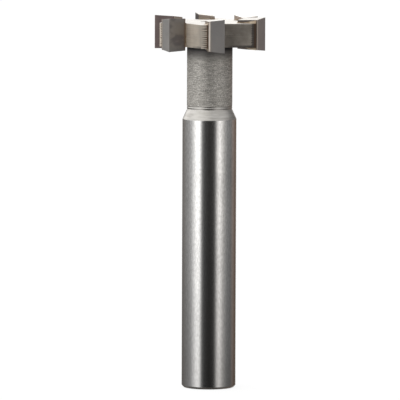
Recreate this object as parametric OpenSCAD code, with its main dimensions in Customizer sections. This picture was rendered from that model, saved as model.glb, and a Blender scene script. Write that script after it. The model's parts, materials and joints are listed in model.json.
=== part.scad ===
// T-slot cutter: a ground parallel shank, a turned neck and a milled steel head
// that carries brazed carbide tips, cutting on the rim and on both sides.
// Millimetres. The origin is the centre of the shank's end face, +Z runs along
// the axis to the head, and the first cutting edge lies over +X.

/* [Shank] */
// Diameter of the ground shank that the collet holds
shank_d = 12; // [10:0.5:14]
// Length of the shank, from its end face to the foot of the cone
shank_len = 59.8; // [40:0.1:90]
// Chamfer round the shank's end face
end_chamfer = 0.5; // [0.2:0.05:1]

/* [Neck] */
// Radial step from the shank down to the neck
neck_step = 0.95; // [0.5:0.05:2]
// Length of the cone between shank and neck
cone_len = 2.1; // [1:0.05:4]
// Length of the neck, from the cone to the underside of the head
neck_len = 14.25; // [8:0.05:25]
// Fillet between the neck and the underside of the head
neck_fillet = 0.6; // [0.3:0.1:1]

/* [Teeth] */
// Number of teeth
tooth_count = 6; // [6:1:8]
// Diameter over the cutting edges
cut_d = 25.4; // [22:0.1:31]
// Rake of the cutting face, negative when it leans forward at its foot
rake_angle = -5; // [-8:0.5:2]
// Angle by which a cutting edge runs ahead of the normal of its seat
seat_lead_angle = 15; // [12:0.5:18]
// Clearance angle of the ground land behind the cutting edge
land_clearance_angle = 16; // [12:0.5:20]
// Width of that land
land_w = 3.15; // [2.5:0.05:3.4]
// Clearance angle of the heel, which runs over the tip's back edge and the steel
heel_clearance_angle = 29.5; // [25:0.5:35]
// Width of the steel heel behind the braze
heel_w = 1.5; // [1:0.1:2.2]

/* [Carbide tips] */
// Width of cut over the corners of a tip
tip_w = 7.4; // [5:0.05:10]
// Thickness of a tip behind its cutting face
tip_t = 3.5; // [3.4:0.05:4.5]
// Height of a tip's upper corner above the steel
proud_top = 1.2; // [0.9:0.05:1.5]
// Depth of a tip's lower corner below the steel
proud_under = 0.95; // [0.9:0.05:1.5]
// Relief of a tip's end faces behind the cutting edge
end_relief_angle = 6; // [2:0.5:6]
// Dish of a tip's end faces towards the axis
end_dish_angle = 1.8; // [0.5:0.1:2.5]

/* [Braze] */
// Thickness of the braze between tip and steel
braze_gap = 0.15; // [0.1:0.05:0.25]
// Leg of the braze bead where a tip stands out of the steel
bead = 0.4; // [0.15:0.05:0.4]

/* [Centre holes] */
// Diameter of the pilot of both centre holes
centre_d = 2; // [1.6:0.1:2.5]
// Depth of that pilot
centre_depth = 4.5; // [4:0.1:6]
// Diameter of the countersink
centre_sink_d = 4.2; // [3.5:0.1:5]
// Angle across the countersink
centre_sink_angle = 60; // [60:5:90]

/* [Hidden] */
$fn = 96;
numbers = [for (i = [1:tooth_count]) i];

shank_r = shank_d / 2;
neck_r = shank_r - neck_step;
neck_z = shank_len + cone_len;
disc_z = neck_z + neck_len;
disc_t = tip_w - proud_top - proud_under;
disc_top = disc_z + disc_t;
tip_top = disc_top + proud_top;
tip_under = disc_z - proud_under;
pitch = 360 / tooth_count;
reach = cut_d;
sink_len = (centre_sink_d - centre_d) / 2 / tan(centre_sink_angle / 2);
// How far a shape runs past the face where it is cut off
spare = cut_d / 20;

function dir(a) = [cos(a), sin(a)];
function turn(p, a) = [p.x * cos(a) - p.y * sin(a), p.x * sin(a) + p.y * cos(a)];
function cross2(a, b) = a.x * b.y - a.y * b.x;
// Where the line from p along d meets the line from q along e
function meet(p, d, q, e) = p + d * cross2(q - p, e) / cross2(d, e);

// One tooth in plan, its cutting edge on +X, the cut turning towards +Y
edge = [cut_d / 2, 0];
rake_in = -dir(rake_angle);
rake_back = turn(rake_in, 90);
heel_dir = -dir(90 - heel_clearance_angle);
land_end = edge - land_w * dir(90 - land_clearance_angle);
tip_back = edge + tip_t * rake_back;
wall_back = tip_back + braze_gap * rake_back;
tip_heel = meet(land_end, heel_dir, tip_back, rake_in);
wall_top = meet(land_end, heel_dir, wall_back, rake_in);
heel = wall_top + heel_w * heel_dir;

// One straight cut makes a tip's seat, the gullet floor and the next tooth's back
seat_out = dir(-seat_lead_angle);
seat_dir = turn(seat_out, 90);
seat = turn(heel, pitch);
tip_seat = seat + braze_gap * seat_out;
wall_foot = meet(wall_back, rake_in, seat, seat_dir);
seat_front = meet(edge, rake_in, seat, seat_dir);
tip_foot_back = meet(tip_back, rake_in, tip_seat, seat_dir);
tip_foot_front = meet(edge, rake_in, tip_seat, seat_dir);

// The outer rim of the braze bead in plan
bead_back = wall_back + bead * rake_back;
bead_seat = seat - bead * seat_out;
bead_slope = atan(bead / (bead + braze_gap));

// Everything above a plane through p that falls by the given slope along v
module above(p, v, slope) {
    translate([p.x, p.y, 0])
        rotate([0, slope, atan2(v.y, v.x)])
            translate([-reach, -reach, 0]) cube([2 * reach, 2 * reach, reach]);
}

module turned_profile() {
    polygon([
        [0, 0],
        [shank_r - end_chamfer, 0],
        [shank_r, end_chamfer],
        [shank_r, shank_len],
        [neck_r, neck_z],
        [neck_r, disc_z + disc_t / 2],
        [0, disc_z + disc_t / 2]
    ]);
    difference() {
        translate([neck_r, disc_z - neck_fillet]) square([neck_fillet, neck_fillet + disc_t / 2]);
        translate([neck_r + neck_fillet, disc_z - neck_fillet]) circle(neck_fillet);
    }
}

module centre_hole() {
    translate([0, 0, -spare]) cylinder(h = centre_depth + spare, d = centre_d);
    cylinder(h = sink_len, d1 = centre_sink_d, d2 = centre_d);
}

module head_disc() {
    translate([0, 0, disc_z])
        linear_extrude(disc_t)
            polygon([for (i = numbers) each [for (p = [heel, wall_top, wall_foot]) turn(p, i * pitch)]]);
}

module cutter_body() {
    color([0.62, 0.61, 0.59])
    difference() {
        union() {
            rotate_extrude() turned_profile();
            head_disc();
        }
        centre_hole();
        translate([0, 0, disc_top]) mirror([0, 0, 1]) centre_hole();
    }
}

// The plane of a tip's end face falls behind the edge and towards the axis
module beyond_end() {
    fall = tan(end_dish_angle) * rake_in + tan(end_relief_angle) * rake_back;
    above(edge, fall, atan(norm(fall)));
}

module carbide_tip(i) {
    color([0.36, 0.35, 0.35])
    rotate((i - 1) * pitch)
    difference() {
        translate([0, 0, tip_under - spare])
            linear_extrude(tip_w + 2 * spare)
                polygon([edge, land_end, tip_heel, tip_foot_back, tip_foot_front]);
        translate([0, 0, tip_top]) beyond_end();
        translate([0, 0, tip_under]) mirror([0, 0, 1]) beyond_end();
    }
}

// Bead along the back and the foot of a tip, standing on the plane z = 0
module braze_bead() {
    difference() {
        linear_extrude(2 * bead)
            polygon([
                meet(land_end, heel_dir, bead_back, rake_in),
                meet(bead_back, rake_in, bead_seat, seat_dir),
                meet(edge, rake_in, bead_seat, seat_dir),
                tip_foot_front,
                tip_foot_back,
                tip_heel
            ]);
        above(bead_back, rake_back, bead_slope);
        above(bead_seat, -seat_out, bead_slope);
    }
}

module braze_seam(i) {
    color([0.66, 0.52, 0.34])
    rotate((i - 1) * pitch) {
        translate([0, 0, disc_z])
            linear_extrude(disc_t)
                polygon([wall_top, wall_foot, seat_front, tip_foot_front, tip_foot_back, tip_heel]);
        translate([0, 0, disc_top]) braze_bead();
        translate([0, 0, disc_z]) mirror([0, 0, 1]) braze_bead();
    }
}

cutter_body();
for (i = numbers) {
    carbide_tip(i);
    braze_seam(i);
}
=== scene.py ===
# %% [markdown]
# # A T-slot cutter
#
# A T-slot cutter mills the wide bottom of a T slot. It has a ground shank for the collet, a thinner
# neck that passes through the slot's mouth, and a head with carbide tips that cut on the rim, on
# top and underneath. The CAD model gives every size, so this lesson loads it as a fixed frame and
# builds finer pieces at the same places, in metres. Each of them then stands for its CAD node.

# %% Load the CAD frame
import json
import math

import bmesh
import bpy
from mathutils import Matrix, Vector, noise
from mathutils.geometry import delaunay_2d_cdt


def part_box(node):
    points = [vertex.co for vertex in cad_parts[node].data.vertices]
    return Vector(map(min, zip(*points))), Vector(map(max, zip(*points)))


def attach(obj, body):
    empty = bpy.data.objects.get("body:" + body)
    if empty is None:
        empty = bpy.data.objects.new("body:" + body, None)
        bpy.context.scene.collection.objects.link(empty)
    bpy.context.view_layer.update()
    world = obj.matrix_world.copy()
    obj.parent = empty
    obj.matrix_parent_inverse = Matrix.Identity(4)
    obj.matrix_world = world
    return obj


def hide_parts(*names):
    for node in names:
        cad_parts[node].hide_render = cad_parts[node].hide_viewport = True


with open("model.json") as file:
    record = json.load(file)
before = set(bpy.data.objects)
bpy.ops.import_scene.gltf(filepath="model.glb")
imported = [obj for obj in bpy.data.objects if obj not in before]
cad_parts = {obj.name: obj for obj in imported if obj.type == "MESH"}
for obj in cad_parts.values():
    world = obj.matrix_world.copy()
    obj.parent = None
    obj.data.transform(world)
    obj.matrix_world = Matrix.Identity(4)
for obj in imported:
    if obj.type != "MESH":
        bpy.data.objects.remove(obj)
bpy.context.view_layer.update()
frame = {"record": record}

# %% [markdown]
# ## The camera
#
# A slim tool is photographed from far away through a long lens, because a near camera would make
# its foot look thinner than its head. The camera stands a little above the head and looks slightly
# down, so the top faces show as thin bright slivers. It aims a hair to the left of the axis, and a
# very small roll leans the picture as a hand-held frame does.

# %% Place the camera
CAMERA_BEARING = math.radians(15.1)
CAMERA_DISTANCE = 1.606
CAMERA_HEIGHT = 0.191
AIM_HEIGHT = 0.0417
AIM_LEFT = 0.00205
CAMERA_ROLL = math.radians(0.21)
LENS = 654.0

to_camera = Vector((math.sin(CAMERA_BEARING), -math.cos(CAMERA_BEARING), 0))
to_right = Vector((math.cos(CAMERA_BEARING), math.sin(CAMERA_BEARING), 0))
aim = Vector((0, 0, AIM_HEIGHT)) - AIM_LEFT * to_right
spot = aim + CAMERA_DISTANCE * to_camera
spot.z = CAMERA_HEIGHT

camera = bpy.data.objects.new("camera", bpy.data.cameras.new("camera"))
camera.data.lens = LENS
look = (aim - spot).to_track_quat("-Z", "Y").to_matrix().to_4x4()
camera.matrix_world = Matrix.Translation(spot) @ look @ Matrix.Rotation(CAMERA_ROLL, 4, "Z")
bpy.context.scene.collection.objects.link(camera)
bpy.context.scene.camera = camera
print("camera at", tuple(round(v, 3) for v in spot))

# %% [markdown]
# ## The tooth in plan
#
# Seen from above, all six teeth are one outline, turned by sixty degrees each time. A cutter
# grinder makes it from straight passes: the rake face, the ground land behind the cutting edge, a
# steeper heel, and one long flat that is at once the seat of a tip, the floor of the gullet and the
# back of the next tooth. So the corners are found as the points where those lines meet. The frame
# gives the cutting radius and the heights, and the angles are named here.

# %% Work out the tooth
MM = 0.001
TEETH = 6
PITCH = 360 / TEETH
RAKE, SEAT_LEAD, LAND_CLEARANCE, HEEL_CLEARANCE = -5, 15, 16, 29.5
LAND_W, HEEL_W, TIP_T, BRAZE_GAP = 3.15, 1.5, 3.5, 0.15

tip_low, tip_high = (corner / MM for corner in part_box("carbide_tip_1"))
edge = Vector((tip_high.x, 0))


def along(degrees):
    """The direction at an angle from +X."""
    return Vector((math.cos(math.radians(degrees)), math.sin(math.radians(degrees))))


def turn(p, degrees):
    """The point or direction p, turned about the axis."""
    return Matrix.Rotation(math.radians(degrees), 2) @ p


def meet(p, d, q, e):
    """Where the line from p along d meets the line from q along e."""
    return p + d * ((q - p).cross(e) / d.cross(e))


rake_in = -along(RAKE)
rake_back = turn(rake_in, 90)
heel_dir = -along(90 - HEEL_CLEARANCE)
land_end = edge - LAND_W * along(90 - LAND_CLEARANCE)
tip_back = edge + TIP_T * rake_back
wall_back = tip_back + BRAZE_GAP * rake_back
tip_heel = meet(land_end, heel_dir, tip_back, rake_in)
wall_top = meet(land_end, heel_dir, wall_back, rake_in)
heel = wall_top + HEEL_W * heel_dir
seat_out = along(-SEAT_LEAD)
seat_dir = turn(seat_out, 90)
seat = turn(heel, PITCH)
tip_seat = seat + BRAZE_GAP * seat_out
wall_foot = meet(wall_back, rake_in, seat, seat_dir)
seat_front = meet(edge, rake_in, seat, seat_dir)
foot_back = meet(tip_back, rake_in, tip_seat, seat_dir)
foot_front = meet(edge, rake_in, tip_seat, seat_dir)
print(f"cutting radius {edge.x:.2f} mm, seats {seat.dot(seat_out):.2f} mm from the axis")

# %% [markdown]
# ## From an outline to a block
#
# The head, the tips and the braze layers are all upright blocks over an outline. A real edge is
# never perfectly sharp, and the thin line of light on it is what makes metal look solid, so every
# corner becomes a small arc. The bevel modifier could do that, but here the columns of the wall are
# written down one by one. Then each column knows its outward direction and the name of its face,
# and machining marks can be pressed into that face as real geometry.

# %% Columns of an outline
ARC_STEP = 25


def bend_at(corners, i):
    """Directions before and after a corner, its bend, and its arc's reach along them."""
    count = len(corners)
    p, radius, _ = corners[i % count]
    before = (p - corners[(i - 1) % count][0]).normalized()
    after = (corners[(i + 1) % count][0] - p).normalized()
    bend = math.atan2(before.cross(after), before.dot(after))
    return before, after, bend, radius * math.tan(abs(bend) / 2)


def columns_of(corners, spacing):
    """corners: (point, arc radius, name of the face that follows), anticlockwise.
    Returns (point, outward normal, face name) for each column of the wall."""
    found = []
    for i, (p, radius, name) in enumerate(corners):
        before, after, bend, reach = bend_at(corners, i)
        side = 1 if bend > 0 else -1
        out = Vector((before.y, -before.x))
        centre = p - before * reach - side * radius * out
        steps = max(2, math.ceil(abs(math.degrees(bend)) / ARC_STEP))
        for k in range(steps + 1):
            normal = turn(out, math.degrees(bend) * k / steps)
            found.append((centre + side * radius * normal, normal, "corner" if k < steps else name))
        start = p + after * reach
        stop = corners[(i + 1) % len(corners)][0] - after * bend_at(corners, i + 1)[-1]
        parts = max(1, round((stop - start).length / spacing))
        normal = Vector((after.y, -after.x))
        found += [(start.lerp(stop, k / parts), normal, name) for k in range(1, parts)]
    return found


print("outlines get an arc step every", ARC_STEP, "degrees")

# %% Wall over the columns
RIM_STEPS = 3


def block(bm, columns, low, high, rows, bevel, dent=None, slots=None):
    """Wall over the columns from low(p) to high(p) with rounded rims, in millimetres.
    dent(face, p, z) presses marks into it. Returns the lower and the upper loop."""
    rim = [(bevel * (1 - math.sin(a)), bevel * (1 - math.cos(a)))
           for a in (math.pi / 2 * k / RIM_STEPS for k in range(RIM_STEPS + 1))]
    grid = []
    for inset, lift in rim:
        grid.append([(p - n * inset, low(p) + lift) for p, n, _ in columns])
    for k in range(1, rows):
        ring = []
        for p, n, face in columns:
            z = low(p) + bevel + (high(p) - low(p) - 2 * bevel) * k / rows
            ring.append((p - n * (dent(face, p, z) if dent else 0), z))
        grid.append(ring)
    for inset, lift in reversed(rim):
        grid.append([(p - n * inset, high(p) - lift) for p, n, _ in columns])
    verts = [[bm.verts.new((p.x, p.y, z)) for p, z in ring] for ring in grid]
    count = len(columns)
    for a, b in zip(verts, verts[1:]):
        for c in range(count):
            d = (c + 1) % count
            face = bm.faces.new((a[c], a[d], b[d], b[c]))
            face.material_index = (slots or {}).get(columns[c][2], 0)
    return verts[0], verts[-1]


print("rims are rounded in", RIM_STEPS, "steps")

# %% [markdown]
# ## From a bmesh to a piece
#
# The pieces are drawn in millimetres, because the sizes of a tool are easier to read that way.

# %% Finish a piece
SHARP = math.radians(16)


def make_piece(bm, name, node, finishes):
    """Turns a bmesh into an object that rides on the frame and replaces a CAD node."""
    bmesh.ops.recalc_face_normals(bm, faces=bm.faces)
    bmesh.ops.scale(bm, vec=(MM, MM, MM), verts=bm.verts)
    mesh = bpy.data.meshes.new(name)
    bm.to_mesh(mesh)
    bm.free()
    mesh.shade_smooth()
    mesh.set_sharp_from_angle(angle=SHARP)
    for finish in finishes:
        mesh.materials.append(finish)
    piece = bpy.data.objects.new(name, mesh)
    bpy.context.scene.collection.objects.link(piece)
    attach(piece, "root")
    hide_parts(node)
    print(f"{name}: {len(mesh.polygons)} faces")


# %% [markdown]
# ## Shader maths as expressions
#
# A node tree for worn metal has dozens of Math nodes, and wiring them by hand hides the idea. Here
# a small class wraps a socket, so that `1 - mask * 0.4` adds its two Math nodes by itself. All
# other nodes come from one method that sets a node's options first and then its sockets.


# %% A socket that can be calculated with
class Wire:
    """An output socket of a node tree that takes part in Python expressions."""

    def __init__(self, board, socket):
        self.board, self.socket = board, socket

    def maths(self, operation, first, second):
        return self.board.node("ShaderNodeMath", {"operation": operation}, {0: first, 1: second})

    def __add__(self, other):
        return self.maths("ADD", self, other)

    def __radd__(self, other):
        return self.maths("ADD", other, self)

    def __sub__(self, other):
        return self.maths("SUBTRACT", self, other)

    def __rsub__(self, other):
        return self.maths("SUBTRACT", other, self)

    def __mul__(self, other):
        return self.maths("MULTIPLY", self, other)

    def __rmul__(self, other):
        return self.maths("MULTIPLY", other, self)

    def __truediv__(self, other):
        return self.maths("DIVIDE", self, other)

    def __rtruediv__(self, other):
        return self.maths("DIVIDE", other, self)


print("sockets can be added, subtracted, multiplied and divided")

# %% [markdown]
# The tree itself is a second class. Its helpers are the few things that every finish below needs:
# a smooth step, a mix of two colours, the place on the object in millimetres, noise at that place,
# and the numbers that the mesh stores on its points.


# %% A node tree that is filled from Python
class Board:
    """A node tree that is filled from Python."""

    def __init__(self, tree):
        self.tree = tree
        tree.nodes.clear()

    def node(self, kind, settings=None, sockets=None, out=0):
        """Adds a node with its options and sockets. A colour ramp's stops count as an option."""
        made = self.tree.nodes.new(kind)
        for key, value in (settings or {}).items():
            if key == "stops":
                elements = made.color_ramp.elements
                while len(elements) < len(value):
                    elements.new(0.5)
                for element, (place, colour) in zip(elements, value):
                    element.position, element.color = place, (*colour, 1)
            else:
                setattr(made, key, value)
        for key, value in (sockets or {}).items():
            if isinstance(value, Wire):
                self.tree.links.new(value.socket, made.inputs[key])
            else:
                made.inputs[key].default_value = value
        return Wire(self, made.outputs[out])

    def end(self, kind, shader):
        """The output node that closes the tree."""
        self.tree.links.new(shader.socket, self.tree.nodes.new(kind).inputs["Surface"])

    def ease(self, value, low, high):
        """0 below low, 1 above high, smooth in between."""
        return self.node("ShaderNodeMapRange", {"interpolation_type": "SMOOTHSTEP"},
                         {"Value": value, "From Min": low, "From Max": high})

    def blend(self, factor, first, second):
        """A colour between two colours."""
        first, second = (c if isinstance(c, Wire) else (*c, 1) for c in (first, second))
        return self.node("ShaderNodeMix", {"data_type": "RGBA"},
                         {0: factor, 6: first, 7: second}, out=2)

    def vector(self, operation, sockets, out=0):
        """One step of vector maths."""
        return self.node("ShaderNodeVectorMath", {"operation": operation}, sockets, out)

    def lift(self, vector):
        """The upright part of a vector."""
        return self.node("ShaderNodeSeparateXYZ", None, {0: vector}, out="Z")

    def place(self, scale=(1, 1, 1)):
        """The point on the object in millimetres, stretched by scale along x, y and z."""
        point = self.node("ShaderNodeTexCoord", out="Object")
        return self.vector("MULTIPLY", {0: point, 1: Vector(scale) / MM})

    def level(self):
        """1 on faces that look straight up or down, 0 on upright walls."""
        lift = self.lift(self.node("ShaderNodeNewGeometry", out="Normal"))
        steep = self.node("ShaderNodeMath", {"operation": "ABSOLUTE"}, {0: lift})
        return self.ease(steep, 0.6, 0.9)

    def speckle(self, scale, detail):
        """Noise between 0 and 1, scale in features per millimetre along x, y and z."""
        return self.node("ShaderNodeTexNoise", {"noise_dimensions": "3D"},
                         {"Vector": self.place(scale), "Scale": 1.0, "Detail": detail})

    def mark(self, name):
        """A number that the mesh stores on its points."""
        return self.node("ShaderNodeAttribute", {"attribute_name": name}, out="Fac")


print("shader helpers ready")

# %% [markdown]
# ## The ground shank
#
# The shank is ground between centres until it is round to a few thousandths. That leaves a bright
# surface with hair lines that run round it, too fine to model. So the finish is a metal with low
# roughness, and a noise that is squeezed along the axis makes the hair lines in a faint bump. Small
# dark flecks are what handling leaves. The shank is also darker towards its foot and lighter at its
# shoulder: that is painted light and shade, a tone that follows the height.


# %% Finish of the ground shank
def new_finish(name):
    """A new material and the board of its empty tree."""
    material = bpy.data.materials.new(name)
    material.use_nodes = True
    return material, Board(material.node_tree)


def shade(board, colour, roughness, height, depth, strength):
    """Ends a tree with a metal shader. height and depth give its bump, depth in millimetres."""
    bump = board.node("ShaderNodeBump", None, {
        "Height": height, "Distance": depth * MM, "Strength": strength})
    shader = board.node("ShaderNodeBsdfPrincipled", None, {
        "Base Color": colour, "Roughness": roughness, "Metallic": 1.0, "Normal": bump})
    board.end("ShaderNodeOutputMaterial", shader)


FOOT_SHADE_TONE, SHOULDER_LIT_TONE = (0.39, 0.382, 0.376), (0.87, 0.86, 0.845)
FLECK_TONE = (0.25, 0.245, 0.24)
LIGHT_FALL_OFF = -20, 70

ground_shank, board = new_finish("ground_shank")
hair = board.speckle((0.15, 0.15, 9), 3)
patch = board.speckle((0.25, 0.25, 0.12), 2)
wave = board.speckle((0.5, 0.5, 0.3), 1)
fleck = board.speckle((3, 3, 1.2), 2)
# Painted light and shade: the tone is lighter at the shoulder and darker towards the foot, standing
# in for the light falling off.
tone = board.blend(board.ease(board.lift(board.place()), *LIGHT_FALL_OFF), FOOT_SHADE_TONE, SHOULDER_LIT_TONE)
handled = board.ease(patch * 0.35 + fleck * 0.65, 0.3, 0.7)
tone = board.blend(handled * 0.35, tone, FLECK_TONE)
roughness = 0.11 + hair * 0.07 + patch * 0.03 + fleck * 0.04
shade(board, tone, roughness, hair * 0.7 + wave * 0.3, 0.004, 0.5)
print("made", ground_shank.name)

# %% [markdown]
# ## The turned neck and cone
#
# The neck was only turned, not ground. The tool tip leaves a fine thread of ridges, and the light
# breaks on them into short horizontal streaks. The ridges are geometry, and the finish adds what is
# finer than they are: streaks in tone, and small white glints that are painted highlights where the
# torn metal shines. Close to the head the neck is painted dark, as painted shadow of the head that
# is darkest in the corner under it. The cone was turned with a finer feed, so it is smoother and
# brighter.

# %% Finish of the neck
NECK_DARK, NECK_LIGHT, GLINT_HIGHLIGHT_TONE = (0.37, 0.352, 0.324), (0.74, 0.714, 0.672), (0.99, 0.97, 0.94)
HEAD_SHADE_TONE, CORNER_SHADOW_TONE = (0.20, 0.19, 0.185), (0.05, 0.05, 0.05)
HEAD_SHADE_REACH, HEAD_SHADE_FRAY = 2.6, 3
CORNER_SHADOW_LOW, CORNER_SHADOW_HIGH = tip_low.z - 0.4, tip_low.z + 0.5

turned_neck, board = new_finish("turned_neck")
streak = board.speckle((0.7, 0.7, 7), 4)
glint = board.speckle((4, 4, 7), 3)
height = board.lift(board.place())
tone = board.blend(board.ease(streak * 0.6 + glint * 0.4, 0.37, 0.63), NECK_DARK, NECK_LIGHT)
# Painted highlight: the brightest specks of the noise are painted near-white, as glints of light on
# the torn metal.
tone = board.blend(board.ease(glint, 0.60, 0.70), tone, GLINT_HIGHLIGHT_TONE)
frayed = height + (glint - 0.5) * HEAD_SHADE_FRAY
# Painted shadow of the head: a frayed dark band below it, and a darker one in the corner right
# under it.
tone = board.blend(board.ease(frayed, tip_low.z - HEAD_SHADE_REACH, tip_low.z), tone, HEAD_SHADE_TONE)
tone = board.blend(board.ease(height, CORNER_SHADOW_LOW, CORNER_SHADOW_HIGH), tone, CORNER_SHADOW_TONE)
roughness = 0.60 + streak * 0.16 - board.ease(glint, 0.45, 0.75) * 0.14
shade(board, tone, roughness, streak * 0.5 + glint * 0.5, 0.03, 0.7)
print("made", turned_neck.name)

# %% Finish of the cone
CONE_DARK, CONE_LIGHT = (0.48, 0.46, 0.43), (0.64, 0.62, 0.59)

turned_cone, board = new_finish("turned_cone")
streak = board.speckle((0.35, 0.35, 5), 3)
patch = board.speckle((0.35, 0.35, 1.2), 3)
tone = board.blend(board.ease(patch * 0.5 + streak * 0.5, 0.35, 0.65), CONE_DARK, CONE_LIGHT)
shade(board, tone, 0.26 + streak * 0.12 + patch * 0.06, streak, 0.014, 0.6)
print("made", turned_cone.name)

# %% [markdown]
# ## The milled head
#
# The walls of the head were milled and the two faces turned, and then the head went through the
# brazing fire. So the steel is warm in colour, with straight lines on the walls and rings on the
# faces. Soot and oxide lie on it as a grey skin that turns brown close to the braze, and right at
# the seam the steel is burnt dark. The same grey also carries painted shade, darker on some flats
# for how the light falls on them. The mesh stores two numbers for this on its points: scorch, how
# near the seam is, and soot, how thick the skin and the painted shade lie on that face.

# %% Finish of the milled head
WALL_DARK, WALL_LIGHT = (0.83, 0.745, 0.645), (0.98, 0.91, 0.805)
FACE_DARK, FACE_LIGHT = (0.66, 0.635, 0.60), (0.85, 0.82, 0.785)
SOOT_AND_SHADE_GREY, SKIN_BROWN = (0.15, 0.138, 0.128), (0.15, 0.098, 0.065)
BURNT_STEEL = (0.19, 0.132, 0.096)

milled_head, board = new_finish("milled_head")
heat, soot, facing = board.mark("scorch"), board.mark("soot"), board.level()
radius = board.vector("LENGTH", {0: board.place((1, 1, 0))}, out="Value")
rings = board.node("ShaderNodeTexNoise", {"noise_dimensions": "1D"},
                   {"W": radius, "Scale": 5.0, "Detail": 3.0})
across = board.speckle((0.15, 0.15, 7), 3)
lines = across + (rings - across) * facing
cloud = board.speckle((0.5, 0.5, 0.5), 3)
wall_tone = board.blend(board.ease(across, 0.25, 0.75), WALL_DARK, WALL_LIGHT)
face_tone = board.blend(board.ease(rings, 0.3, 0.7), FACE_DARK, FACE_LIGHT)
tone = board.blend(facing, wall_tone, face_tone)
skin_and_shade = board.blend(board.ease(heat, 0.3, 0.85), SOOT_AND_SHADE_GREY, SKIN_BROWN)
# Painted shade: soot darkens some flats and heels more than others, for how the light falls on
# each, on top of the real soot.
uneven = soot + (cloud - 0.5) * 0.3 + (lines - 0.5) * 0.25
tone = board.blend(board.ease(uneven, 0.0, 1.0), tone, skin_and_shade)
tone = board.blend(board.ease(heat + soot * 0.06, 0.86, 0.94), tone, BURNT_STEEL)
shade(board, tone, 0.66 - facing * 0.2 + lines * 0.08 + cloud * 0.08, lines, 0.04, 1.0)
print("made", milled_head.name)

# %% [markdown]
# ## Carbide
#
# Tungsten carbide is darker than steel, and a diamond wheel leaves it with a fine satin grain. The
# lands keep the grey of the wheel. The rake faces are darker, with brown and violet tints from the
# fire, and these differ from tip to tip, so each mesh stores a number called stain. The end faces
# and the narrow strip beside the braze were ground last, and their near-white tone is also painted
# highlight for the light they catch.

# %% Finish of the lands and the back
LAND_DARK, LAND_LIGHT, LAND_STAIN = (0.37, 0.365, 0.365), (0.52, 0.50, 0.475), (0.66, 0.53, 0.52)
LAND_HOT, LAND_SOOT = (0.47, 0.395, 0.34), (0.10, 0.088, 0.08)

carbide_ground, board = new_finish("carbide_ground")
heat, stain, soot = board.mark("scorch"), board.mark("stain"), board.mark("soot")
grain = board.speckle((1.2, 1.2, 6), 3)
cloud = board.speckle((0.35, 0.35, 0.35), 2)
tone = board.blend(cloud, LAND_DARK, LAND_LIGHT)
tone = board.blend(stain * 0.8, tone, LAND_STAIN)
tone = board.blend(board.ease(heat + (cloud - 0.5) * 0.4, 0.3, 1.0), tone, LAND_HOT)
tone = board.blend(soot, tone, LAND_SOOT)
shade(board, tone, 0.48 + grain * 0.12, grain, 0.008, 0.5)
print("made", carbide_ground.name)

# %% Finish of the rake faces
RAKE_LIGHT, RAKE_DARK = (0.315, 0.30, 0.285), (0.20, 0.19, 0.20)
RAKE_HOT, RAKE_STAIN = (0.27, 0.205, 0.165), (0.13, 0.092, 0.085)

carbide_face, board = new_finish("carbide_face")
heat, stain = board.mark("scorch"), board.mark("stain")
grain = board.speckle((1.5, 1.5, 4), 3)
cloud = board.speckle((0.3, 0.3, 0.45), 2)
tone = board.blend(board.ease(cloud, 0.4, 0.62), RAKE_LIGHT, RAKE_DARK)
tone = board.blend(board.ease(heat, 0.3, 1.0), tone, RAKE_HOT)
tone = board.blend(stain, tone, RAKE_STAIN)
shade(board, tone, 0.40 + grain * 0.12, grain, 0.008, 0.5)
print("made", carbide_face.name)

# %% Finish of the strips and the end faces
STRIP_DARK, STRIP_LIGHT = (0.87, 0.77, 0.675), (0.97, 0.885, 0.80)
END_DARK, END_LIGHT = (0.75, 0.725, 0.695), (0.90, 0.875, 0.845)
EDGE_STAIN, EDGE_BURNT = (0.22, 0.19, 0.17), (0.20, 0.15, 0.115)

carbide_edge, board = new_finish("carbide_edge")
heat, stain = board.mark("scorch"), board.mark("stain")
grain = board.speckle((1.2, 1.2, 6), 3)
# Painted highlight: the strips and the end faces get a near-white tone for the light they catch,
# far brighter than the grey of ground carbide.
strip = board.blend(grain, STRIP_DARK, STRIP_LIGHT)
end = board.blend(grain, END_DARK, END_LIGHT)
tone = board.blend(board.level(), strip, end)
tone = board.blend(stain, tone, EDGE_STAIN)
tone = board.blend(board.ease(heat, 0.90, 1.0), tone, EDGE_BURNT)
shade(board, tone, 0.40 + grain * 0.08, grain, 0.006, 0.4)
print("made", carbide_edge.name)

# %% [markdown]
# ## Braze metal
#
# The braze is a tan silver alloy under a patchy brown skin of oxide and flux. It set as it flowed,
# so it is smoother than the milled steel beside it.

# %% Finish of the braze
BRAZE_BROWN, BRAZE_TAN = (0.30, 0.22, 0.15), (0.56, 0.47, 0.36)

braze_skin, board = new_finish("braze_skin")
cloud = board.speckle((0.9, 0.9, 0.9), 2)
tone = board.blend(board.ease(cloud, 0.35, 0.65), BRAZE_BROWN, BRAZE_TAN)
shade(board, tone, 0.30 + cloud * 0.2, cloud, 0.03, 0.6)
print("made", braze_skin.name)

# %% [markdown]
# ## The round part of the body
#
# The body is one piece of steel from the foot to the head. Its round part is a lathe: a profile of
# radius and height is turned about the axis. Both ends have a centre hole, which the turner needs
# to hold the bar. Two shallow grooves mark where the tool started on the neck, and above them the
# rings carry the turning ridges, each a little different from the last.

# %% Profile of the round part
SHANK_R = frame["record"]["mounts"][0]["dims"]["r_mm"]
SHANK_LEN, CONE_LEN, NECK_R, NECK_FILLET, END_CHAMFER = 59.8, 2.1, 5.05, 0.6, 0.5
CENTRE_R, CENTRE_DEPTH, SINK_R, SINK_SLOPE = 1.0, 4.5, 2.1, math.radians(30)
PROUD_UNDER = 0.95
EDGE_SOFT, SOFT_STEPS, HOLE_LIP = 0.07, 3, 0.1
RIDGE_PITCH, RIDGE_STEPS, RIDGE_DEPTH = 0.36, 6, 0.020
GROOVES = ((0.0, 0.42, 0.08), (0.52, 0.40, 0.07))
GROOVE_STEPS, FILLET_RINGS = 6, 6

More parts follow.
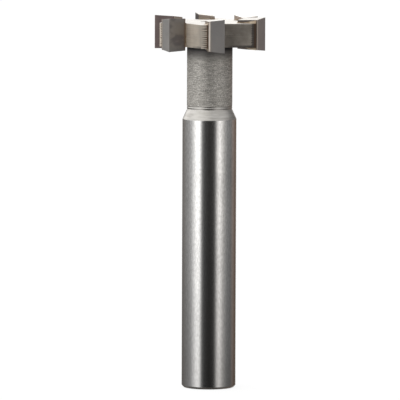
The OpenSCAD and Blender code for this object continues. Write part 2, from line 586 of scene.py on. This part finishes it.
disc_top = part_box("cutter_body")[1].z / MM
disc_low = tip_low.z + PROUD_UNDER
neck_low = SHANK_LEN + CONE_LEN
sink_len = (SINK_R - CENTRE_R) / math.tan(SINK_SLOPE)


def softened(points):
    """The profile with each inner corner replaced by a short arc-like curve."""
    points = [Vector(p) for p in points]
    smooth = [points[0]]
    for a, b, c in zip(points, points[1:], points[2:]):
        p, q = b + (a - b).normalized() * EDGE_SOFT, b + (c - b).normalized() * EDGE_SOFT
        smooth += [p.lerp(b, t).lerp(b.lerp(q, t), t)
                   for t in (k / SOFT_STEPS for k in range(SOFT_STEPS + 1))]
    return smooth + [points[-1]]


foot = softened([
    (CENTRE_R, CENTRE_DEPTH), (CENTRE_R, sink_len), (SINK_R, 0), (SHANK_R - END_CHAMFER, 0),
    (SHANK_R, END_CHAMFER), (SHANK_R, SHANK_LEN), (NECK_R, neck_low)])
groove = [Vector((NECK_R - depth * math.sin(math.pi * k / GROOVE_STEPS),
                  neck_low + start + width * k / GROOVE_STEPS))
          for start, width, depth in GROOVES for k in range(GROOVE_STEPS + 1)][1:]
ridge_low, ridge_high = groove[-1].y, disc_low - NECK_FILLET
ridge_rings = round((ridge_high - ridge_low) / RIDGE_PITCH * RIDGE_STEPS)
neck = [Vector((NECK_R, ridge_low + (ridge_high - ridge_low) * k / ridge_rings))
        for k in range(1, ridge_rings + 1)]
fillet = [Vector((NECK_R + NECK_FILLET * (1 - math.cos(a)), ridge_high + NECK_FILLET * math.sin(a)))
          for a in (math.pi / 2 * k / FILLET_RINGS for k in range(1, FILLET_RINGS + 1))]
top_hole = softened([
    (SINK_R + HOLE_LIP, disc_top), (SINK_R, disc_top), (CENTRE_R, disc_top - sink_len),
    (CENTRE_R, disc_top - CENTRE_DEPTH)])
print(len(foot + groove + neck + fillet), "rings from the foot to the head")

# %% Turn the profile
SEGMENTS = 192
ON_SHANK, ON_CONE, ON_NECK, ON_HEAD = range(4)
HAIRLINE = 0.01


def ridge(z, angle):
    """Depth of the turning marks on the neck at one height and angle."""
    wave = 0.5 - 0.5 * math.cos(2 * math.pi * z / RIDGE_PITCH)
    uneven = 0.55 + 0.45 * noise.noise((0, 0, z * 1.7))
    broken = 0.75 + 0.5 * noise.noise((2.5 * math.cos(angle), 2.5 * math.sin(angle), z * 3))
    return RIDGE_DEPTH * wave * uneven * broken


def lathe(bm, profile, finish_at):
    """Turns a profile about the axis and returns its first and its last ring."""
    rows = []
    for r, z in profile:
        row = []
        for k in range(SEGMENTS):
            angle = 2 * math.pi * k / SEGMENTS
            cut = ridge(z, angle) if ridge_low < z < ridge_high else 0
            row.append(bm.verts.new(((r - cut) * math.cos(angle), (r - cut) * math.sin(angle), z)))
        rows.append(row)
    for a, b in zip(rows, rows[1:]):
        for k in range(SEGMENTS):
            face = bm.faces.new((a[k], a[k - 1], b[k - 1], b[k]))
            face.material_index = finish_at((a[k].co.z + b[k].co.z) / 2)
    return rows[0], rows[-1]


def finish_of_bar(z):
    """The finish at a height. The foot's end was turned with the same feed as the cone."""
    if z > disc_low - HAIRLINE:
        return ON_HEAD
    if z > ridge_low:
        return ON_NECK
    return ON_CONE if z > SHANK_LEN or z < END_CHAMFER else ON_SHANK


body = bmesh.new()
pit, collar = lathe(body, foot + groove + neck + fillet, finish_of_bar)
mouth, top_pit = lathe(body, top_hole, lambda z: ON_CONE)
for ring in (pit, top_pit):
    body.faces.new(ring).material_index = ON_CONE
print("round part:", len(body.faces), "faces")

# %% [markdown]
# ## The head of the body
#
# The head is a block over the outline of the six teeth. A mill leaves a slow wave on the flats, and
# a coarse wheel leaves a ripple on the heels that shows as a comb of fine lines. Flat triangles
# then close the head: underneath they run from the outline to the neck, and on top to the mouth of
# the centre hole.

# %% Mill the head
FLAT_PITCH, FLAT_DEPTH = 0.52, 0.010
HEEL_PITCH, HEEL_DEPTH = 0.47, 0.022
HEEL_ARC, WALL_ARC, GULLET_ARC = 0.06, 0.05, 0.12
HEAD_SPACING, HEAD_ROWS, HEAD_BEVEL = 0.3, 72, 0.04


def heel_wave(p, z):
    """The ripple that a coarse wheel left on the heels, between -1 and 1."""
    wander = noise.noise((p.x * 0.25, p.y * 0.25, z * 0.8))
    return math.sin(2 * math.pi * (z / HEEL_PITCH + 0.6 * wander))


def mill_marks(face, p, z):
    """Depth of the milling and grinding marks on the head's side walls."""
    if face == "flat":
        wander = noise.noise((p.x * 0.25, p.y * 0.25, z * 0.6))
        wave = math.sin(2 * math.pi * (z / FLAT_PITCH + 0.4 * wander))
        fine = noise.noise((p.x * 0.15, p.y * 0.15, z * 5))
        return FLAT_DEPTH * (1 + 0.5 * wave + 0.5 * fine)
    if face == "heel":
        uneven = 0.6 + 0.4 * noise.noise((p.x, p.y, z * 2))
        return HEEL_DEPTH * (1 + heel_wave(p, z)) * uneven
    return 0


tooth_corners = [(heel, HEEL_ARC, "heel"), (wall_top, WALL_ARC, "wall"),
                 (wall_foot, GULLET_ARC, "flat")]
head_corners = [(turn(p, k * PITCH), radius, face)
                for k in range(TEETH) for p, radius, face in tooth_corners]
low_loop, high_loop = block(
    body, columns_of(head_corners, HEAD_SPACING), lambda p: disc_low, lambda p: disc_top,
    HEAD_ROWS, HEAD_BEVEL, mill_marks, dict.fromkeys(("heel", "wall", "flat", "corner"), ON_HEAD))
print("with the head's walls:", len(body.faces), "faces")

# %% Close the head
EPSILON = 1e-7


def fill_between(bm, outer, inner, slot_number):
    """Flat triangles between an outline and a ring inside it, at the same height."""
    loop, n, m = outer + inner, len(outer), len(inner)
    edges = [(i, (i + 1) % n) for i in range(n)] + [(n + i, n + (i + 1) % m) for i in range(m)]
    _, _, triangles, origins, _, _ = delaunay_2d_cdt([v.co.xy for v in loop], edges, [], 1, EPSILON)
    for triangle in triangles:
        corners = [origins[i][0] for i in triangle]
        if min(corners) < n:
            bm.faces.new([loop[i] for i in corners]).material_index = slot_number


fill_between(body, low_loop, collar, ON_HEAD)
fill_between(body, high_loop, mouth, ON_HEAD)
print("with its faces closed:", len(body.faces), "faces")

# %% [markdown]
# ## Soot and painted shade on the steel
#
# The fire is never even: one seat comes out pale and the next one dark. On top of that soot, some
# flats are painted darker as painted shade for how the light falls on them. So each flat and each
# heel has its own amount of soot and painted shade, in the order of the teeth, and it grows or
# fades along the flat. On a heel it gathers at the seam and in the hollows of the ripple. The
# amounts are stored on the points of the mesh, where the finish of the milled head reads them.

# %% Scorch the head and finish the body
# Amounts of soot and painted shade for each flat and heel, in the order of the teeth.
FLAT_SOOT_AND_SHADE = (0.3, 0.35, 0.3, 0.25, 0.48, 0.71)
FLAT_SHADE_FADE = (0.0, 0.0, 0.0, 0.0, 0.095, 0.045)
FLAT_LEN, FLAT_MARGIN = 9, 0.03
RIM_SOOT_AND_SHADE_H, RIM_SOOT_AND_SHADE_LEN = 0.6, 6
HEEL_SOOT_AND_SHADE = (0.86, 0.45, 0.45, 0.4, 0.05, 0.40)
HEEL_MARGIN = 0.08
SEAM_SOOT = ((0.6, 0.7), (0.4, 0.6), (0.5, 0.5), (0.4, 0.6), (0.3, 0.8), (0.15, 0.95))
SEAM_SOOT_LEN = 0.9
SEAM_HEAT = (1.0, 1.0, 1.0, 1.0, 0.88, 1.0)
STEEL_SCORCH_LEN = 1.1


def new_layers(bm, *names):
    """Number layers on the vertices, fetched only when all of them exist."""
    for name in names:
        bm.verts.layers.float.new(name)
    return [bm.verts.layers.float[name] for name in names]


def flat_soot_and_shade(k, reach, z):
    """Soot and painted shade on a flat at a distance from its outer end, more at the lower rim."""
    rim = max(0, 1 - (z - disc_low) / RIM_SOOT_AND_SHADE_H) * max(0, 1 - reach / RIM_SOOT_AND_SHADE_LEN)
    return FLAT_SOOT_AND_SHADE[k] * (0.85 + 0.07 * reach + rim) - FLAT_SHADE_FADE[k] * reach


def heel_soot_and_shade(k, behind, point):
    """Soot and painted shade on a heel behind the seam, in a steady and a rippled part."""
    steady, rippled = SEAM_SOOT[k]
    uneven = 0.9 + noise.noise((0, k, point.z * 1.4))
    ripple = max(0, heel_wave(point.xy, point.z)) * (1 - behind / HEEL_W) * uneven
    return HEEL_SOOT_AND_SHADE[k] + steady * max(0, 1 - behind / SEAM_SOOT_LEN) + rippled * ripple


heat_layer, soot_and_shade_layer = new_layers(body, "scorch", "soot")
heel_out = Vector((-heel_dir.y, heel_dir.x))
for v in body.verts:
    if v.co.z < disc_low - HAIRLINE:
        continue
    for k in range(TEETH):
        p = turn(v.co.xy, -k * PITCH)
        behind, reach = (p - wall_top).length, (p - seat).length
        heat = SEAM_HEAT[k] * math.exp(-behind / STEEL_SCORCH_LEN)
        v[heat_layer] = max(v[heat_layer], heat)
        if abs((p - seat).dot(seat_out)) < FLAT_MARGIN and reach < FLAT_LEN:
            v[soot_and_shade_layer] = flat_soot_and_shade(k, reach, v.co.z)
        elif abs((p - wall_top).dot(heel_out)) < HEEL_MARGIN and behind < HEEL_W:
            v[soot_and_shade_layer] = heel_soot_and_shade(k, behind, v.co)
make_piece(body, "steel_body", "cutter_body",
           [ground_shank, turned_cone, turned_neck, milled_head])

# %% [markdown]
# ## The carbide tips
#
# A tip is a small five-sided block whose two end faces fall away behind the cutting edge and
# towards the axis, so that only the edge touches the work. The fall is a plane, and the block's
# upper and lower heights follow it. The edges are broken by a few hundredths only, because a
# cutting edge has to stay sharp. The wheel's ripple on the land is strongest where the land ends,
# and the end faces are closed with shrinking rings, because a tint is stored on points and a single
# large face has none inside.

# %% Shape of a tip
TIP_ARC, TIP_BEVEL = 0.05, 0.04
TIP_SPACING, TIP_ROWS = 0.5, 48
CAP_RINGS = (0.96, 0.9, 0.78, 0.55, 0.3)
LAND_PITCH, LAND_DEPTH, LAND_FADE = 0.42, 0.010, 0.7
END_RELIEF, END_DISH = math.radians(6), math.radians(1.8)
ON_FACE, ON_EDGE = 1, 2  # the ground land, foot and back keep slot 0

fall = math.tan(END_DISH) * rake_in + math.tan(END_RELIEF) * rake_back
tip_corners = [(edge, TIP_ARC, "rake"), (foot_front, TIP_ARC, "foot"), (foot_back, TIP_ARC, "back"),
               (tip_heel, TIP_ARC, "strip"), (land_end, TIP_ARC, "land")]


def tip_floor(p):
    """Height of a tip's lower end face."""
    return tip_low.z + fall.dot(p - edge)


def tip_roof(p):
    """Height of a tip's upper end face."""
    return tip_high.z - fall.dot(p - edge)


def grind_marks(face, p, z):
    """Depth of the wheel's ripple on the land and on the strip behind it."""
    if face not in ("land", "strip"):
        return 0
    rough = 0.3 + 1.4 * math.exp(-(p - land_end).length / LAND_FADE)
    wave = math.sin(2 * math.pi * z / LAND_PITCH) * (0.6 + noise.noise((p.x, p.y, z * 1.5)))
    return LAND_DEPTH * rough * (1 + 0.5 * wave)


def cap(bm, rim, slot_number):
    """Closes a rim with rings that shrink towards its middle."""
    middle = sum((v.co for v in rim), Vector((0, 0, 0))) / len(rim)
    outer = rim
    for shrink in CAP_RINGS:
        inner = [bm.verts.new(middle.lerp(v.co, shrink)) for v in rim]
        for k in range(len(rim)):
            face = bm.faces.new((outer[k - 1], outer[k], inner[k], inner[k - 1]))
            face.material_index = slot_number
        outer = inner
    bm.faces.new(outer).material_index = slot_number


print("a tip is", round(tip_high.z - tip_low.z, 2), "mm wide over its corners")

# %% Build the tips
STAINS = (0.3, 0.0, 0.35, 0.8, 0.02, 0.08)
BACK_SOOT = (0.8, 0.3, 0.3, 0.0, 0.2, 0.3)
BACK_MARGIN, TIP_SCORCH_LEN = 0.02, 0.9


def to_tooth(bm, k):
    """Turns a piece from the first tooth to tooth k."""
    bmesh.ops.rotate(bm, verts=bm.verts, matrix=Matrix.Rotation(math.radians(k * PITCH), 3, "Z"))


for k in range(TEETH):
    tip = bmesh.new()
    loops = block(tip, columns_of(tip_corners, TIP_SPACING), tip_floor, tip_roof,
                  TIP_ROWS, TIP_BEVEL, grind_marks, {"rake": ON_FACE, "strip": ON_EDGE})
    for loop in loops:
        cap(tip, loop, ON_EDGE)
    heat_layer, stain_layer, soot_and_shade_layer = new_layers(tip, "scorch", "stain", "soot")
    for v in tip.verts:
        from_back = (v.co.xy - tip_back).dot(-rake_back)
        from_seam = max(0, min(from_back, (v.co.xy - foot_front).dot(seat_out)))
        v[heat_layer] = SEAM_HEAT[k] * math.exp(-from_seam / TIP_SCORCH_LEN)
        v[stain_layer] = STAINS[k]
        v[soot_and_shade_layer] = BACK_SOOT[k] if from_back < BACK_MARGIN else 0
    to_tooth(tip, k)
    make_piece(tip, f"tip_{k + 1}", f"carbide_tip_{k + 1}",
               [carbide_ground, carbide_face, carbide_edge])

# %% [markdown]
# ## The braze
#
# Molten braze is drawn into the gap between tip and steel, and a little of it stays outside as a
# hollow fillet that climbs the tip, as water climbs a glass. The layer in the gap is a thin block
# that ends just short of the surface, where the photo shows a dark line. The fillet is swept round
# the tip's back and foot, with a width and a height that wander, and it is largest at the rim.

# %% Path and section of the fillet
FILLET_STEPS, SWEEP_STEPS, BEND_STEPS = 6, 14, 4
FILLET_W, FILLET_H = 0.62, 0.56
FILLET_START, SINK, HAIR_GAP = 0.08, 0.04, 0.012
CLIMB_SHARE = 0.6


def fillet_path():
    """Points along the tip's back and foot with the direction away from the tip."""
    start = tip_heel + FILLET_START * rake_in
    path = [(start.lerp(foot_back, k / SWEEP_STEPS), rake_back) for k in range(SWEEP_STEPS)]
    for t in (k / BEND_STEPS for k in range(BEND_STEPS + 1)):
        path.append((foot_back, turn(rake_back, -90 * t).lerp(-seat_out, t).normalized()))
    path += [(foot_back.lerp(foot_front, k / SWEEP_STEPS), -seat_out)
             for k in range(1, SWEEP_STEPS + 1)]
    return path


def fillet_section(w, h):
    """Distance from the tip and height of each point of a hollow fillet."""
    hollow = [(w - (w - HAIR_GAP) * math.sin(a), h * (1 - math.cos(a)))
              for a in (math.pi / 2 * k / FILLET_STEPS for k in range(FILLET_STEPS + 1))]
    return [(w, -SINK), *hollow, (HAIR_GAP, -SINK)]


def sweep_fillet(bm, base, up, seed):
    """A hollow fillet on the plane z = base that climbs the tip towards up."""
    rows = []
    path = fillet_path()
    lean = heel_dir.dot(rake_in) / heel_dir.dot(rake_back)
    for i, (p, out) in enumerate(path):
        pull = max(0, 1 - i / SWEEP_STEPS) * lean
        wander = noise.noise((i * 0.35, seed * 7.3, base))
        ends = min(1, (min(i, len(path) - 1 - i) + 1.2) / 3)
        climb = max(0, 1 - i / SWEEP_STEPS / CLIMB_SHARE)
        w = FILLET_W * (0.6 + 0.5 * climb + 0.4 * wander) * ends
        h = FILLET_H * (0.3 + climb + 0.2 * wander)
        rows.append([bm.verts.new((*(p + out * d + rake_in * pull * d), base + up * z))
                     for d, z in fillet_section(w, h)])
    count = len(rows[0])
    for a, b in zip(rows, rows[1:]):
        for k in range(count):
            bm.faces.new((a[k], b[k], b[(k + 1) % count], a[(k + 1) % count]))
    bm.faces.new(rows[0])
    bm.faces.new(rows[-1])


print("a fillet has", len(fillet_path()), "sections")

# %% Build the braze
RECESS = 0.35
LAYER_ARC, LAYER_BEVEL, LAYER_SPACING, LAYER_ROWS = 0.02, 0.012, 1.0, 8
LOWER_SEED = 10

layer_points = (tip_heel + RECESS * rake_in, foot_back, foot_front, seat_front, wall_foot,
                wall_top + RECESS * rake_in)
layer_corners = [(p, LAYER_ARC, "braze") for p in layer_points]
for k in range(TEETH):
    seam = bmesh.new()
    loops = block(seam, columns_of(layer_corners, LAYER_SPACING), lambda p: disc_low,
                  lambda p: disc_top, LAYER_ROWS, LAYER_BEVEL)
    for loop in loops:
        seam.faces.new(loop)
    sweep_fillet(seam, disc_top, 1, k + 1)
    sweep_fillet(seam, disc_low, -1, k + 1 + LOWER_SEED)
    to_tooth(seam, k)
    make_piece(seam, f"braze_{k + 1}", f"braze_seam_{k + 1}", [braze_skin])

# %% [markdown]
# ## The floor
#
# The tool stands on a plain white sweep that curves up far away, all round. It is there for the
# camera and for the soft contact shadow only. If the bright floor showed in the shank, the dark
# and light bands would stop halfway down, so the sweep is hidden from reflections. It lies a hair
# below the foot, so that the two faces don't share a plane.

# %% Build the sweep
FLOOR_R, BEND_R, WALL_H, FLOOR_DROP = 3.0, 1.0, 3.0, 0.00002
FLOOR_SIDES, FLOOR_BENDS = 64, 8

profile = [(FLOOR_R, -FLOOR_DROP)]
profile += [(FLOOR_R + BEND_R * math.sin(a), BEND_R * (1 - math.cos(a)))
            for a in (math.pi / 2 * k / FLOOR_BENDS for k in range(1, FLOOR_BENDS + 1))]
profile += [(FLOOR_R + BEND_R, WALL_H)]
circle = [(math.cos(a), math.sin(a))
          for a in (2 * math.pi * k / FLOOR_SIDES for k in range(FLOOR_SIDES))]

sweep = bmesh.new()
rows = [[sweep.verts.new((r * x, r * y, z)) for x, y in circle] for r, z in profile]
sweep.faces.new(rows[0])
for a, b in zip(rows, rows[1:]):
    for k in range(FLOOR_SIDES):
        sweep.faces.new((a[k], a[k - 1], b[k - 1], b[k]))
mesh = bpy.data.meshes.new("floor")
sweep.to_mesh(mesh)
sweep.free()
mesh.shade_smooth()
floor = bpy.data.objects.new("floor", mesh)
bpy.context.scene.collection.objects.link(floor)
floor.visible_glossy = False
floor.visible_shadow = False
floor.visible_diffuse = False
print("floor:", len(mesh.polygons), "faces")

# %% Finish of the sweep
PAPER_DARK, PAPER_LIGHT, PAPER_GLOW = (0.15, 0.15, 0.15), (0.16, 0.16, 0.16), 0.88

white_paper, board = new_finish("white_paper")
fibre = board.speckle((0.02, 0.02, 0.02), 2)
shader = board.node("ShaderNodeBsdfPrincipled", None, {
    "Base Color": board.blend(fibre, PAPER_DARK, PAPER_LIGHT), "Roughness": 1.0,
    "Specular IOR Level": 0.0, "Emission Color": (1, 1, 1, 1), "Emission Strength": PAPER_GLOW})
board.end("ShaderNodeOutputMaterial", shader)
mesh.materials.append(white_paper)
print("made", white_paper.name)

# %% [markdown]
# ## The studio
#
# Polished metal shows its surroundings, so the light is designed as what the shank should mirror.
# Seen from the tool there is a dark room behind the camera, a bright soft box to its left, a
# weaker one to its right, grey and brown walls at the sides and a white card behind. The world
# shader paints this room by direction. A colour ramp runs round the horizon and dims below it.
# Above it hang rings of soft panels, each between two bearings and two heights, and a dim floor
# lies underneath. Bearings are in degrees from the camera, positive to its right.

# %% Directions in the studio
world = bpy.data.worlds.new("studio")
bpy.context.scene.world = world
world.use_nodes = True
board = Board(world.node_tree)

gaze = board.node("ShaderNodeTexCoord", out="Generated")
rightward = board.vector("DOT_PRODUCT", {0: gaze, 1: to_right}, out="Value")
nearward = board.vector("DOT_PRODUCT", {0: gaze, 1: to_camera}, out="Value")
upward = board.lift(gaze)
bearing = board.node("ShaderNodeMath", {"operation": "ARCTAN2"}, {0: rightward, 1: nearward})
bearing = bearing * (180 / math.pi)


def between(value, low, high, blur):
    """1 between low and high, fading over the width blur at both ends."""
    ease = value.board.ease
    return (ease(value, low - blur / 2, low + blur / 2)
            * ease(value, high + blur / 2, high - blur / 2))


print("the studio is painted by bearing and height")

# %% Paint the horizon
HORIZON = [
    (-180, (0.13, 0.12, 0.112)), (-140, (0.21, 0.20, 0.19)), (-100, (0.36, 0.36, 0.36)),
    (-83, (0.52, 0.52, 0.52)), (-65, (1.18, 1.18, 1.18)), (-56, (1.62, 1.62, 1.61)),
    (-42, (1.62, 1.62, 1.61)), (-32, (0.22, 0.22, 0.218)), (-22, (0.065, 0.065, 0.065)),
    (0, (0.028, 0.027, 0.026)), (18, (0.045, 0.044, 0.043)), (25, (0.14, 0.138, 0.135)),
    (37, (1.02, 1.005, 0.985)), (43, (1.28, 1.26, 1.23)), (50, (1.12, 1.10, 1.08)),
    (62, (0.58, 0.57, 0.555)), (81, (0.26, 0.26, 0.26)), (105, (0.18, 0.178, 0.178)),
    (120, (0.29, 0.24, 0.215)), (143, (0.155, 0.108, 0.083)), (158, (0.14, 0.105, 0.085)),
    (166, (0.85, 0.83, 0.81)), (180, (0.85, 0.83, 0.81)),
]
HORIZON_LOW, HORIZON_HIGH, HEIGHT_BLUR = -0.9, 0.13, 0.09
DIM_LOW, DIM_HIGH, DIM_SHARE = -0.5, -0.4, 0.4
RAMP_SCALE = 2

stops = [((at + 180) / 360, tuple(c / RAMP_SCALE for c in colour)) for at, colour in HORIZON]
horizon = board.node("ShaderNodeValToRGB", {"stops": stops}, {"Fac": bearing / 360 + 0.5})
dimmed = DIM_SHARE + (1 - DIM_SHARE) * board.ease(upward, DIM_LOW, DIM_HIGH)
weight = between(upward, HORIZON_LOW, HORIZON_HIGH, HEIGHT_BLUR) * dimmed
room = board.vector("SCALE", {0: horizon, "Scale": weight * RAMP_SCALE})
print(len(HORIZON), "stops round the horizon")

# %% Hang the panels
BELOW, MIDDLE, UPPER, TOP = (-2, -0.45), (0.13, 0.5), (0.5, 0.82), (0.82, 2)
PANELS = [
    (MIDDLE, -190, -120, (1.5, 1.5, 1.48)),
    (MIDDLE, -120, -67, (1.0, 1.0, 0.99)),
    (MIDDLE, -67, -25, (1.1, 1.1, 1.1)),
    (MIDDLE, -25, 25, (0.035, 0.035, 0.035)),
    (MIDDLE, 25, 72, (0.7, 0.7, 0.7)),
    (MIDDLE, 72, 158, (0.20, 0.20, 0.20)),
    (MIDDLE, 158, 190, (2.6, 2.6, 2.55)),
    (UPPER, -190, -90, (1.3, 1.3, 1.3)),
    (UPPER, -90, 0, (1.22, 1.22, 1.2)),
    (UPPER, 0, 90, (0.8, 0.8, 0.8)),
    (UPPER, 90, 190, (1.0, 1.0, 1.0)),
    (TOP, -190, 190, (0.9, 0.9, 0.9)),
    (BELOW, -190, 190, (0.06, 0.056, 0.053)),
]
BEARING_BLUR = 8

for (low, high), left, right, colour in PANELS:
    mask = between(upward, low, high, HEIGHT_BLUR) * between(bearing, left, right, BEARING_BLUR)
    panel = board.vector("SCALE", {0: colour, "Scale": mask})
    room = board.vector("ADD", {0: room, 1: panel})
shader = board.node("ShaderNodeBackground", None, {"Color": room, "Strength": 1.0})
board.end("ShaderNodeOutputWorld", shader)
bpy.context.scene.view_settings.view_transform = "Standard"
print(len(PANELS), "panels hung")
